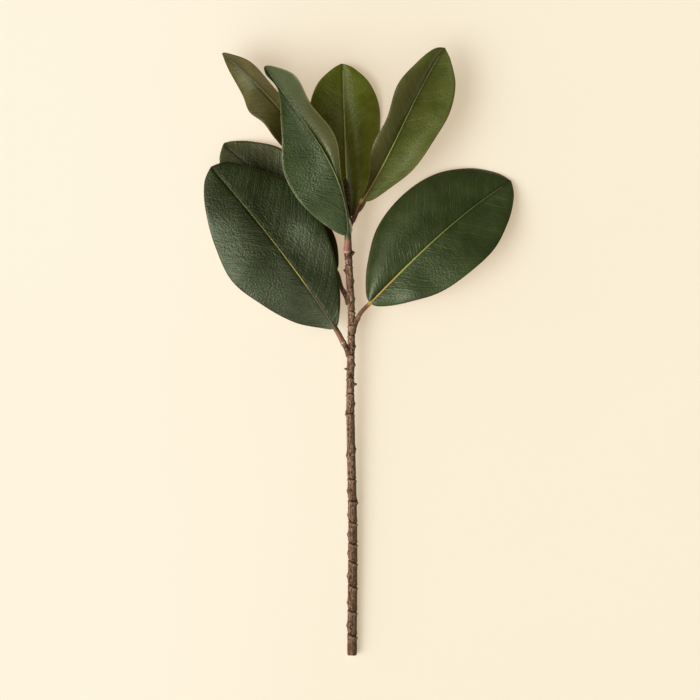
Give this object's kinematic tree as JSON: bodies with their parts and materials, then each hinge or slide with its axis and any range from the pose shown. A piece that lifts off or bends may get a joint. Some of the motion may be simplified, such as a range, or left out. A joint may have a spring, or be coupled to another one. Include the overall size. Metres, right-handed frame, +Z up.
{
  "type": "magnolia branch",
  "caption": "Cut magnolia twig lying on its side, with broad glossy leathery leaves, small side buds and a dark closed bud at the tip.",
  "frame": {"origin": "on the surface that the branch lies on, under the middle of the whole branch", "axes": "+Y along the twig from the cut end towards the bud, +X to the right seen from above, +Z up"},
  "size_m": [0.2605, 0.5109, 0.0686],
  "materials": {
    "bark": "rough, ringed grey-brown bark",
    "bud_scale": "dark brown, finely scaled",
    "leaf": "glossy dark green above, dull rusty brown below"
  },
  "bodies": {
    "root": {"stem": "bark", "terminal_bud": "bud_scale", "side_bud_upper_right": "bud_scale", "side_bud_upper_left": "bud_scale", "side_bud_lower_left": "bud_scale", "side_bud_lower_right": "bud_scale", "leaf_lower_left": "leaf", "leaf_lower_right": "leaf", "leaf_left_back": "leaf", "leaf_front": "leaf", "leaf_upper_left": "leaf", "leaf_centre_back": "leaf", "leaf_upper_right": "leaf"}
  },
  "joints": []
}
